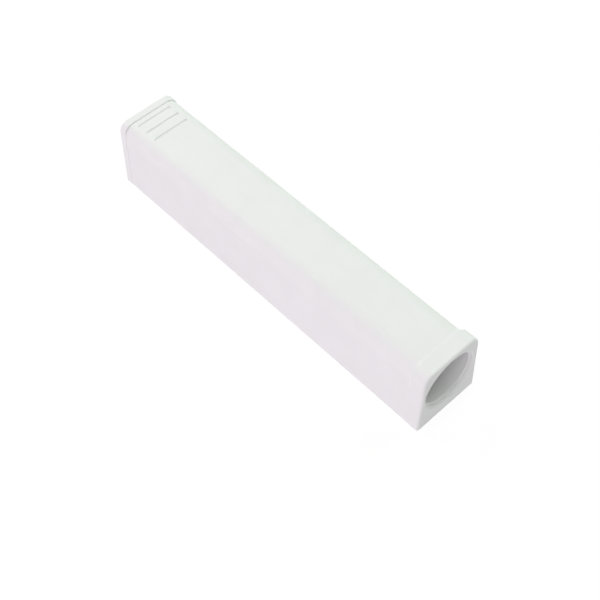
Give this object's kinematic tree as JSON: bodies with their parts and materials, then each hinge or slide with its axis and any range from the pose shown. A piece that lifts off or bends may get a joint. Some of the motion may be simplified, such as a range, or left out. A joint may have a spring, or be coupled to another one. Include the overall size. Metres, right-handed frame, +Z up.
{
  "type": "push latch adapter",
  "caption": "Slim surface-mounted housing with a round mouth at one end, sliding on to a screwed base strip and holding a push-to-open plunger latch with a magnetic tip.",
  "frame": {"origin": "middle of the underside, at the centre of the footprint", "axes": "+X along the housing towards its mouth, +Z up, away from the surface it is screwed to"},
  "size_m": [0.084, 0.015, 0.0157],
  "materials": {
    "shell_plastic": "fine satin moulded white",
    "base_plastic": "fine satin moulded white",
    "sleeve_plastic": "light grey, smooth",
    "insert_plastic": "mid grey, matt",
    "rod_plastic": "off-white, low-friction",
    "tip_plastic": "mid grey, matt",
    "steel_wire": "drawn spring steel",
    "magnet_plating": "nickel plate"
  },
  "bodies": {
    "base": {"mounting_base": "base_plastic"},
    "housing": {"housing_shell": "shell_plastic"},
    "cartridge": {"cartridge_sleeve": "sleeve_plastic", "cartridge_end_plug": "insert_plastic", "nose_bush": "insert_plastic", "spring_guide_pin": "steel_wire", "ejector_spring": "steel_wire"},
    "plunger": {"plunger_rod": "rod_plastic", "tip_holder": "tip_plastic", "tip_magnet": "magnet_plating"},
    "follower": {"cam_follower": "steel_wire"}
  },
  "joints": [
    {"name": "housing_slide", "type": "slide", "parent": "base", "child": "housing", "axis": [1, 0, 0], "range_m": [0, 0.08]},
    {"name": "cartridge_slide", "type": "slide", "parent": "housing", "child": "cartridge", "axis": [1, 0, 0], "range_m": [0, 0.0085]},
    {"name": "plunger_slide", "type": "slide", "parent": "cartridge", "child": "plunger", "axis": [1, 0, 0], "range_m": [0, 0.038], "deforming": ["ejector_spring"]},
    {"name": "follower_swing", "type": "hinge", "parent": "cartridge", "child": "follower", "pos_m": [-0.0285, 0, 0.0055], "axis": [0, 0, 1], "range_deg": [-8.2, 0]}
  ]
}
